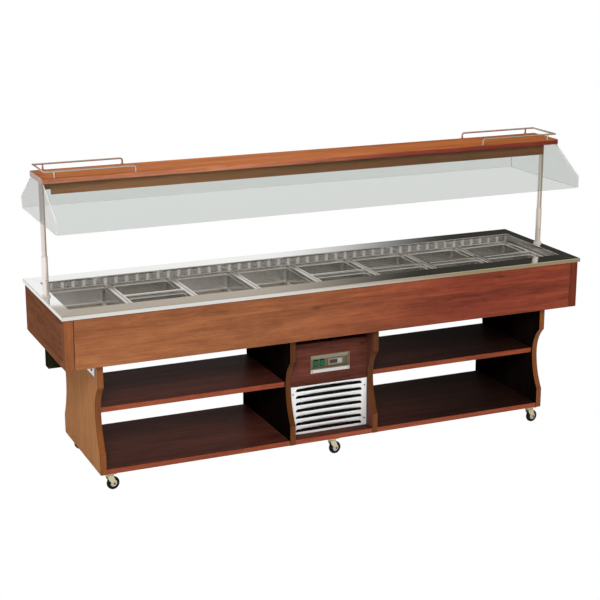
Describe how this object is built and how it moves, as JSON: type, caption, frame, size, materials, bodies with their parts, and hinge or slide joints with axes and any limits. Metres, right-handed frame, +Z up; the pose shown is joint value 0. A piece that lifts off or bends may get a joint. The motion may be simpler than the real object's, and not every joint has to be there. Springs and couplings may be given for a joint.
{
  "type": "mobile salad bar",
  "caption": "Free-standing chilled salad bar on castors: wooden tank with lift-out pans, steel rim, open shelf base with cooling unit, glass canopy on posts and overshelf.",
  "frame": {"origin": "on the floor under the centre of the counter, which is the centre of the bounding box's base", "axes": "+Z up, +X along the counter to the right of someone facing the control side, -Y towards the control side"},
  "size_m": [2.8, 0.76, 1.54],
  "materials": {
    "rim_steel": "polished stainless",
    "well_steel": "satin stainless",
    "pan_steel": "bright stainless",
    "tank_skin": "galvanised sheet over foam",
    "apron_wood": "satin lacquer, red-brown",
    "post_wood": "satin lacquer, red-brown",
    "panel_wood": "satin lacquer, tan-brown",
    "shelf_wood": "satin lacquer, dark mahogany",
    "unit_wood": "satin lacquer, mahogany",
    "top_wood": "glossy lacquer, orange-brown",
    "fascia_wood": "satin lacquer, grey-brown",
    "angle_steel": "bright sheet",
    "grille_white": "white powder coat",
    "control_steel": "satin stainless",
    "thermostat_case": "grey",
    "rocker_green": "green, translucent",
    "black_shell": "black enamel",
    "fin_aluminium": "mill finish",
    "motor_grey": "grey",
    "fan_black": "black",
    "copper": "copper tube",
    "gland_black": "black",
    "drain_steel": "satin stainless",
    "post_steel": "satin stainless",
    "lamp_white": "white",
    "canopy_glass": "clear, faint green",
    "rail_chrome": "bright chrome",
    "castor_zinc": "yellow-passivated zinc",
    "tyre_black": "black rubber"
  },
  "bodies": {
    "base": {"worktop_rim": "rim_steel", "tank_body": "tank_skin", "well_liner": "well_steel", "air_walls": "well_steel", "evaporator": "fin_aluminium", "condenser": "fin_aluminium", "drain_pipe": "drain_steel", "aprons": "apron_wood", "corner_posts": "post_wood", "support_angles": "angle_steel", "end_panels": "panel_wood", "dividers": "panel_wood", "shelves": "shelf_wood", "unit_panels": "unit_wood", "louvre_grilles": "grille_white", "control_plate": "control_steel", "thermostat": "thermostat_case", "compressor": "black_shell", "lamp_gear_box": "black_shell", "fan_motor": "motor_grey", "pipework": "copper", "mains_inlet": "gland_black", "post_sleeves": "post_steel", "post_tubes": "post_steel", "overshelf_board": "top_wood", "fascias": "fascia_wood", "lamp_fittings": "lamp_white", "glass_sides": "canopy_glass", "glass_ends": "canopy_glass", "gallery_rails": "rail_chrome", "castor_plates": "castor_zinc", "pan_bars": "well_steel"},
    "pan_1": {"pan_1": "pan_steel"},
    "pan_2_back": {"pan_2_back": "pan_steel"},
    "pan_2_front": {"pan_2_front": "pan_steel"},
    "pan_3": {"pan_3": "pan_steel"},
    "pan_4": {"pan_4": "pan_steel"},
    "pan_5_back": {"pan_5_back": "pan_steel"},
    "pan_5_front": {"pan_5_front": "pan_steel"},
    "pan_6_back": {"pan_6_back": "pan_steel"},
    "pan_6_front": {"pan_6_front": "pan_steel"},
    "pan_7_back": {"pan_7_back": "pan_steel"},
    "pan_7_front": {"pan_7_front": "pan_steel"},
    "pan_8_back": {"pan_8_back": "pan_steel"},
    "pan_8_front": {"pan_8_front": "pan_steel"},
    "rocker_left": {"rocker_left": "rocker_green"},
    "rocker_right": {"rocker_right": "rocker_green"},
    "fan_blades": {"fan_blades": "fan_black"},
    "castor_fork_1": {"castor_fork_1": "castor_zinc"},
    "castor_wheel_1": {"castor_wheel_1": "tyre_black"},
    "castor_fork_2": {"castor_fork_2": "castor_zinc"},
    "castor_wheel_2": {"castor_wheel_2": "tyre_black"},
    "castor_fork_3": {"castor_fork_3": "castor_zinc"},
    "castor_wheel_3": {"castor_wheel_3": "tyre_black"},
    "castor_fork_4": {"castor_fork_4": "castor_zinc"},
    "castor_wheel_4": {"castor_wheel_4": "tyre_black"},
    "castor_fork_5": {"castor_fork_5": "castor_zinc"},
    "castor_wheel_5": {"castor_wheel_5": "tyre_black"},
    "castor_fork_6": {"castor_fork_6": "castor_zinc"},
    "castor_wheel_6": {"castor_wheel_6": "tyre_black"}
  },
  "joints": [
    {"name": "pan_1_lift", "type": "slide", "parent": "base", "child": "pan_1", "axis": [0, 0, 1], "range_m": [0, 0.2]},
    {"name": "pan_2_back_lift", "type": "slide", "parent": "base", "child": "pan_2_back", "axis": [0, 0, 1], "range_m": [0, 0.2]},
    {"name": "pan_2_front_lift", "type": "slide", "parent": "base", "child": "pan_2_front", "axis": [0, 0, 1], "range_m": [0, 0.2]},
    {"name": "pan_3_lift", "type": "slide", "parent": "base", "child": "pan_3", "axis": [0, 0, 1], "range_m": [0, 0.2]},
    {"name": "pan_4_lift", "type": "slide", "parent": "base", "child": "pan_4", "axis": [0, 0, 1], "range_m": [0, 0.2]},
    {"name": "pan_5_back_lift", "type": "slide", "parent": "base", "child": "pan_5_back", "axis": [0, 0, 1], "range_m": [0, 0.2]},
    {"name": "pan_5_front_lift", "type": "slide", "parent": "base", "child": "pan_5_front", "axis": [0, 0, 1], "range_m": [0, 0.2]},
    {"name": "pan_6_back_lift", "type": "slide", "parent": "base", "child": "pan_6_back", "axis": [0, 0, 1], "range_m": [0, 0.2]},
    {"name": "pan_6_front_lift", "type": "slide", "parent": "base", "child": "pan_6_front", "axis": [0, 0, 1], "range_m": [0, 0.2]},
    {"name": "pan_7_back_lift", "type": "slide", "parent": "base", "child": "pan_7_back", "axis": [0, 0, 1], "range_m": [0, 0.2]},
    {"name": "pan_7_front_lift", "type": "slide", "parent": "base", "child": "pan_7_front", "axis": [0, 0, 1], "range_m": [0, 0.2]},
    {"name": "pan_8_back_lift", "type": "slide", "parent": "base", "child": "pan_8_back", "axis": [0, 0, 1], "range_m": [0, 0.2]},
    {"name": "pan_8_front_lift", "type": "slide", "parent": "base", "child": "pan_8_front", "axis": [0, 0, 1], "range_m": [0, 0.2]},
    {"name": "rocker_left_press", "type": "hinge", "parent": "base", "child": "rocker_left", "pos_m": [-0.067, -0.235, 0.481], "axis": [-1, 0, 0], "range_deg": [0, 14]},
    {"name": "rocker_right_press", "type": "hinge", "parent": "base", "child": "rocker_right", "pos_m": [-0.0335, -0.235, 0.481], "axis": [-1, 0, 0], "range_deg": [0, 14]},
    {"name": "fan_spin", "type": "hinge", "parent": "base", "child": "fan_blades", "pos_m": [0, -0.159, 0.243], "axis": [0, 1, 0], "continuous": true},
    {"name": "swivel_1", "type": "hinge", "parent": "base", "child": "castor_fork_1", "pos_m": [-1.179, -0.292, 0.08], "axis": [0, 0, 1], "continuous": true},
    {"name": "roll_1", "type": "hinge", "parent": "castor_fork_1", "child": "castor_wheel_1", "pos_m": [-1.16127, -0.28887, 0.0325], "axis": [-0.1736, 0.9848, 0], "continuous": true},
    {"name": "swivel_2", "type": "hinge", "parent": "base", "child": "castor_fork_2", "pos_m": [0, -0.292, 0.08], "axis": [0, 0, 1], "continuous": true},
    {"name": "roll_2", "type": "hinge", "parent": "castor_fork_2", "child": "castor_wheel_2", "pos_m": [0.01773, -0.28887, 0.0325], "axis": [-0.1736, 0.9848, 0], "continuous": true},
    {"name": "swivel_3", "type": "hinge", "parent": "base", "child": "castor_fork_3", "pos_m": [1.179, -0.292, 0.08], "axis": [0, 0, 1], "continuous": true},
    {"name": "roll_3", "type": "hinge", "parent": "castor_fork_3", "child": "castor_wheel_3", "pos_m": [1.19673, -0.28887, 0.0325], "axis": [-0.1736, 0.9848, 0], "continuous": true},
    {"name": "swivel_4", "type": "hinge", "parent": "base", "child": "castor_fork_4", "pos_m": [-1.179, 0.292, 0.08], "axis": [0, 0, 1], "continuous": true},
    {"name": "roll_4", "type": "hinge", "parent": "castor_fork_4", "child": "castor_wheel_4", "pos_m": [-1.16127, 0.29513, 0.0325], "axis": [-0.1736, 0.9848, 0], "continuous": true},
    {"name": "swivel_5", "type": "hinge", "parent": "base", "child": "castor_fork_5", "pos_m": [0, 0.292, 0.08], "axis": [0, 0, 1], "continuous": true},
    {"name": "roll_5", "type": "hinge", "parent": "castor_fork_5", "child": "castor_wheel_5", "pos_m": [0.01773, 0.29513, 0.0325], "axis": [-0.1736, 0.9848, 0], "continuous": true},
    {"name": "swivel_6", "type": "hinge", "parent": "base", "child": "castor_fork_6", "pos_m": [1.179, 0.292, 0.08], "axis": [0, 0, 1], "continuous": true},
    {"name": "roll_6", "type": "hinge", "parent": "castor_fork_6", "child": "castor_wheel_6", "pos_m": [1.19673, 0.29513, 0.0325], "axis": [-0.1736, 0.9848, 0], "continuous": true}
  ]
}
